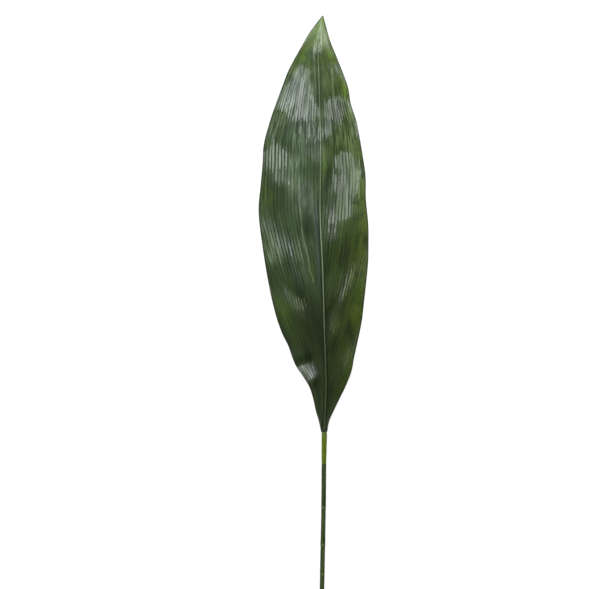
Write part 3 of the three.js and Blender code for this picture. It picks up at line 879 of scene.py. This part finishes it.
def makeTape(shape):
    # A tube whose radius has its slow swell, beads at its joints and the low step of each turn,
    # which rises by 3u^2 - 2u^3 over a sixth of the turn.
    top, foot = shape["sleeveLength"] + shape["tapeGap"], shape["length"]
    below = np.linspace(foot, top, shape["tapeRows"])
    angle = anglesRound(shape["around"])
    turn = (below[:, None] / shape["tapeTurn"] + angle / (2 * np.pi)) % 1
    step = (easeStep(0, 0.16, turn) - easeStep(0.16, 1, turn)) * shape["tapeStep"]
    radius = shape["tapeRadius"] + smooth(shape["tapeSwell"], below)[:, None] + step
    for place, halfLength, rise in shape["tapeRings"]:
        radius = radius + rise * np.exp(-((below - place) / halfLength) ** 2)[:, None]
    radius = radius - roundedEnds(below, top, foot, shape["lip"])[:, None]
    return makeTube("woundTape", shape, below, radius)


def makeSleeve(shape):
    # A tube that widens evenly towards the blade, with rounded lips.
    below = np.linspace(shape["sleeveLength"], 0, shape["sleeveRows"])
    share = below / shape["sleeveLength"]
    radius = shape["sleeveTopRadius"] + (shape["sleeveFootRadius"] - shape["sleeveTopRadius"]) * share
    angle = anglesRound(shape["around"])
    radius = (radius - roundedEnds(below, 0, shape["sleeveLength"], shape["lip"]))[:, None]
    ripple = np.sin(3 * angle + below[:, None] / 7) * np.sin(below[:, None] / 4.1)
    radius = radius + shape["sleeveRipple"] * ripple
    return makeTube("brightSleeve", shape, below, radius)


def makeWire(shape, leaf):
    # A bar along the stem's centre and on under the midrib, where it thins, with rounded ends.
    stemRows, bladeRows = shape["wireRows"]
    below = np.linspace(shape["length"], 0, stemRows)
    t = np.linspace(shape["wireStartsAt"], leaf["wireEndsAt"], bladeRows)
    centres = np.vstack([stemPoints(shape, below), wirePoints(leaf, t)])
    along = np.concatenate([-below, t * leaf["length"]])
    radius = np.concatenate([np.full(len(below), leaf["wireRadius"]), wireRadiusAt(leaf, t)])
    toEnd = np.minimum(along - along[0], along[-1] - along)
    radius = radius - roundedEnds(toEnd, 0, math.inf, shape["wireLip"])
    radius = np.repeat(radius[:, None], shape["wireAround"], 1)
    outer = ringsAlong(centres, radius, shape["wireAround"])
    piece = roundPiece("coatedWire", outer)
    paintWrap(piece, shape["wireAround"], along)
    return piece


tapeLook = {
    "dark": green(24, 35, 8),
    "light": green(54, 67, 30),
    "ring": green(92, 110, 66),
    "seam": green(30, 44, 20),
    "reliefDepth": 0.00012,
    "sheen": 0.12,
    "roughness": 0.55,
    "roughSpread": (-0.08, 0.1),
}
sleeveLook = {
    "dark": green(61, 73, 9),
    "light": green(90, 104, 18),
    "bladeEndTone": green(74, 92, 34),
    "reliefDepth": 0.00005,
    "sheen": 0.2,
    "roughness": 0.42,
    "roughSpread": (-0.08, 0.1),
}
wireLook = {
    "dark": green(46, 66, 34),
    "light": green(70, 94, 50),
    "reliefDepth": 0.00004,
    "sheen": 0.5,
    "roughness": 0.38,
    "roughSpread": (-0.06, 0.1),
}


def dressStem(tree, shader, look, colour, grain, relief):
    # Colour, a roughness about the look's that follows the grain, and raised relief
    smoothest, roughest = look["roughSpread"]
    rough = plus(tree, look["roughness"], ramp(tree, grain, 0.3, 0.7, smoothest, roughest))
    feedAll(tree, shader, {"Base Color": colour, "Roughness": rough,
                           "Specular IOR Level": look["sheen"],
                           "Normal": bumpFrom(tree, relief, look["reliefDepth"])})


def tapeMaterial(look, shape):
    # Crepe paper tape: fine creases across the wrap, long blotches, a dark line where a turn
    # ends and a light one on each joint.
    material, tree, shader = newMaterial("crepeTape")
    cosine, sine, along = readParts(tree, "wrap")
    longWise = noise(tree, [(cosine, 1.2), (sine, 1.2), (along, 0.35)], 3.0, 0.6)
    crepe = noise(tree, [(cosine, 2.0), (sine, 2.0), (along, 14.0)], 2.0, 0.6)
    fibre = noise(tree, [(cosine, 9.0), (sine, 9.0), (along, 1.6)], 3.0, 0.6)
    colour = mixColour(tree, ramp(tree, longWise, 0.35, 0.65), look["dark"], look["light"])
    colour = mixColour(tree, ramp(tree, fibre, 0.5, 0.72, 0.0, 0.35), colour, look["ring"])
    turn = times(tree, along, 20 * math.pi / shape["tapeTurn"])
    seam = plus(tree, times(tree, calc(tree, "SINE", turn), cosine),
                times(tree, calc(tree, "COSINE", turn), sine))
    colour = mixColour(tree, ramp(tree, seam, 0.93, 1.0, 0.0, 0.35), colour, look["seam"])
    onRing = 0.0
    for place, halfLength, _ in shape["tapeRings"]:
        away = calc(tree, "ABSOLUTE", minus(tree, along, place / 10))
        line = ramp(tree, away, 0.03, 0.03 + halfLength / 14, 1.0, 0.0)
        onRing = highest(tree, onRing, line)
    onRing = times(tree, onRing, ramp(tree, fibre, 0.3, 0.6, 0.35, 0.8))
    colour = mixColour(tree, onRing, colour, look["ring"])
    creases = plus(tree, times(tree, crepe, 0.7), times(tree, fibre, 0.5))
    dressStem(tree, shader, look, colour, fibre, creases)
    return material


def sleeveMaterial(look):
    # Soft plastic: mottled yellow-green, brighter along its sides, darker towards the blade end.
    material, tree, shader = newMaterial("sleevePlastic")
    cosine, sine, along = readParts(tree, "wrap")
    mottle = noise(tree, [(cosine, 1.1), (sine, 1.1), (along, 1.3)], 4.0, 0.6)
    grain = noise(tree, [(cosine, 6.0), (sine, 6.0), (along, 9.0)], 3.0, 0.6)
    sideShare = ramp(tree, calc(tree, "ABSOLUTE", cosine), 0.35, 0.95, 0.0, 0.7)
    tone = calc(tree, "ADD", ramp(tree, mottle, 0.35, 0.65, 0.0, 0.7), sideShare, clamp=True)
    colour = mixColour(tree, tone, look["dark"], look["light"])
    # Darker towards the blade end, in mottled patches
    bladeEndTone = times(tree, ramp(tree, along, 0.0, 0.9, 0.8, 0.0),
                  ramp(tree, mottle, 0.3, 0.55, 0.5, 1.0))
    colour = mixColour(tree, bladeEndTone, colour, look["bladeEndTone"])
    dressStem(tree, shader, look, colour, grain, grain)
    return material


def wireMaterial(look):
    # Dipped coat with fine runs along the wire
    material, tree, shader = newMaterial("wireCoat")
    cosine, sine, along = readParts(tree, "wrap")
    runs = noise(tree, [(cosine, 2.2), (sine, 2.2), (along, 0.8)], 4.0, 0.6)
    colour = mixColour(tree, ramp(tree, runs, 0.35, 0.65), look["dark"], look["light"])
    dressStem(tree, shader, look, colour, runs, runs)
    return material


present(makeTape(stemShape), tapeMaterial(tapeLook, stemShape), "stem_tape")
present(makeSleeve(stemShape), sleeveMaterial(sleeveLook), "sleeve")
present(makeWire(stemShape, bladeShape), wireMaterial(wireLook), "stem_wire")


# Ground, lights and camera

stageSetup = {
    "photoPixels": 589,
    "pixelSize": 1.081,           # millimetres for one pixel of the photograph
    "middle": (294.5, 294.5),     # the photograph's middle, in its pixels
    "stemPixel": (324.0, 432.0),  # where the blade's foot starts
    "cameraHeight": 5.2,
    "groundSize": 12.0,
    "groundTone": 0.15,
    "groundGlow": 0.88,
    "worldStrength": 0.035,
    "bank": {"near": (0.95, 3.2), "far": (2.6, 1.9), "width": 3.0, "radiance": (8.4, 5.4),
             "tint": (0.95, 1.0, 1.02)},
    "softFill": {"at": (0.6, -2.4, 3.2), "towards": (0, 0, 0), "size": (2.4, 1.6),
                 "radiance": 0.4, "tint": (1, 1, 1), "mirrored": False},
    "veilLight": {"at": (0, 0.68, 3.3), "towards": (0, 0.68, 0), "size": (3.6, 0.52),
                  "radiance": 1.1, "tint": (0.92, 0.98, 1), "mirrored": True},
}


def makeGround(setup):
    # A wide plain that glows by itself, so the leaf throws almost no shadow
    bpy.ops.mesh.primitive_plane_add(size=setup["groundSize"], location=(0, 0, 0))
    ground = bpy.context.object
    ground.name = "paleGround"
    material, tree, shader = newMaterial("palePaper")
    tone = setup["groundTone"]
    feedAll(tree, shader, {"Base Color": (tone, tone, tone, 1), "Roughness": 0.9,
                           "Emission Color": (1, 1, 1, 1), "Emission Strength": setup["groundGlow"]})
    ground.data.materials.append(material)


def areaLight(name, place, target, size, radiance, colour):
    # A rectangle of light whose surface has the given radiance
    data = bpy.data.lights.new(name, "AREA")
    data.shape = "RECTANGLE"
    data.size, data.size_y = size
    data.energy = radiance * math.pi * size[0] * size[1]
    data.color = colour
    lamp = addObject(name, data)
    lamp.location = place
    direction = Vector(target) - Vector(place)
    lamp.rotation_euler = direction.to_track_quat("-Z", "Y").to_euler()
    return lamp


def makeCamera(setup):
    # Straight above the point in the photograph's middle. The lens is the sensor's width times
    # the height, divided by the width that the photograph shows.
    scale = setup["pixelSize"] * mm
    x = shift[0] * mm + (setup["middle"][0] - setup["stemPixel"][0]) * scale
    y = shift[1] * mm - (setup["middle"][1] - setup["stemPixel"][1]) * scale
    data = bpy.data.cameras.new("photoCamera")
    data.sensor_fit = "HORIZONTAL"
    data.sensor_width = 36
    data.lens = data.sensor_width * setup["cameraHeight"] / (setup["photoPixels"] * scale)
    camera = addObject("photoCamera", data)
    camera.location = (x, y, setup["cameraHeight"])
    scene.camera = camera


makeGround(stageSetup)
makeCamera(stageSetup)
# A leaning rectangle of light beyond the tip, in two halves, that faces the ground squarely
bank = stageSetup["bank"]
(nearY, nearZ), (farY, farZ) = bank["near"], bank["far"]
depth = math.hypot(farY - nearY, nearZ - farZ)
bankY, bankZ = (nearY + farY) / 2, (nearZ + farZ) / 2
reach = bankZ / (farY - nearY) * (nearZ - farZ)
for side, radiance in zip((-0.5, 0.5), bank["radiance"]):
    bankX = side * bank["width"]
    areaLight("bankLight", (bankX, bankY, bankZ), (bankX, bankY - reach, 0), (bank["width"], depth),
              radiance, bank["tint"])
for name in ("softFill", "veilLight"):
    light = stageSetup[name]
    lamp = areaLight(name, light["at"], light["towards"], light["size"], light["radiance"],
                     light["tint"])
    lamp.visible_glossy = light["mirrored"]
world = bpy.data.worlds.new("paleStudio")
world.use_nodes = True
feedAll(world.node_tree, world.node_tree.nodes["Background"],
        {"Color": (1, 1, 1, 1), "Strength": stageSetup["worldStrength"]})
scene.world = world
scene.view_settings.view_transform = "Standard"
print("stage done")
